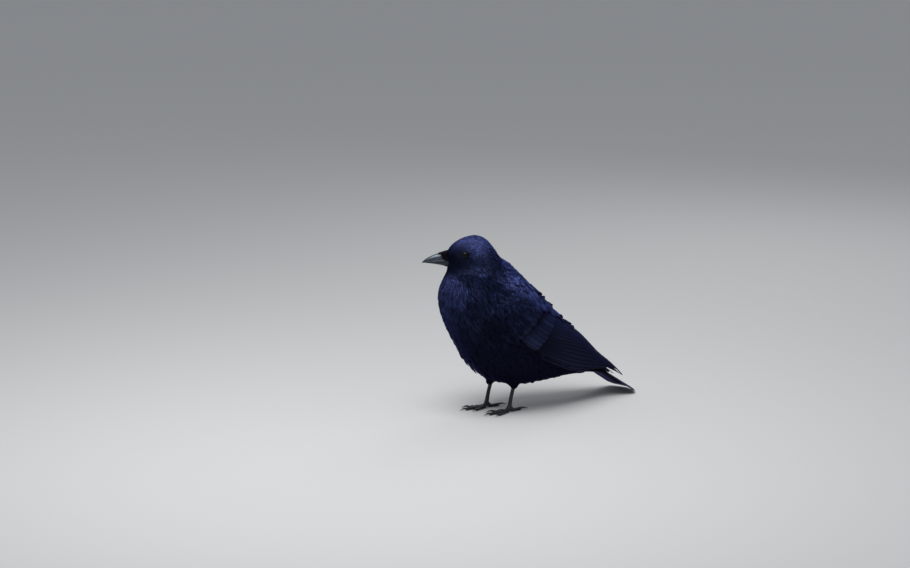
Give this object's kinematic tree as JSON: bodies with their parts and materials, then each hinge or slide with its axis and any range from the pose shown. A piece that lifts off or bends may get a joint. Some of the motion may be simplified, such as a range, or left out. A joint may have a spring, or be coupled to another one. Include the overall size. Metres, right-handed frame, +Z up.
{
  "type": "crow",
  "caption": "Life-size standing crow with folded wings, head turned to its right, stout bill, and feet and tail tip resting on a flat floor.",
  "frame": {"origin": "centre of the model's box at floor height", "axes": "+Z up, -Y the way the body faces, +X the bird's left"},
  "size_m": [0.1338, 0.3748, 0.2877],
  "materials": {
    "black_feather": "satin",
    "flight_feather": "satin",
    "bill_horn": "satin",
    "leg_scale": "satin",
    "claw_horn": "gloss",
    "eye": "gloss"
  },
  "bodies": {
    "root": {"head": "black_feather", "neck": "black_feather", "trunk": "black_feather", "left_thigh": "black_feather", "right_thigh": "black_feather", "left_wing": "flight_feather", "right_wing": "flight_feather", "tail": "flight_feather", "upper_bill": "bill_horn", "lower_bill": "bill_horn", "left_eye": "eye", "right_eye": "eye", "left_tarsus": "leg_scale", "right_tarsus": "leg_scale", "left_foot": "leg_scale", "right_foot": "leg_scale", "left_claw_1": "claw_horn", "left_claw_2": "claw_horn", "left_claw_3": "claw_horn", "left_claw_4": "claw_horn", "right_claw_1": "claw_horn", "right_claw_2": "claw_horn", "right_claw_3": "claw_horn", "right_claw_4": "claw_horn"}
  },
  "joints": []
}
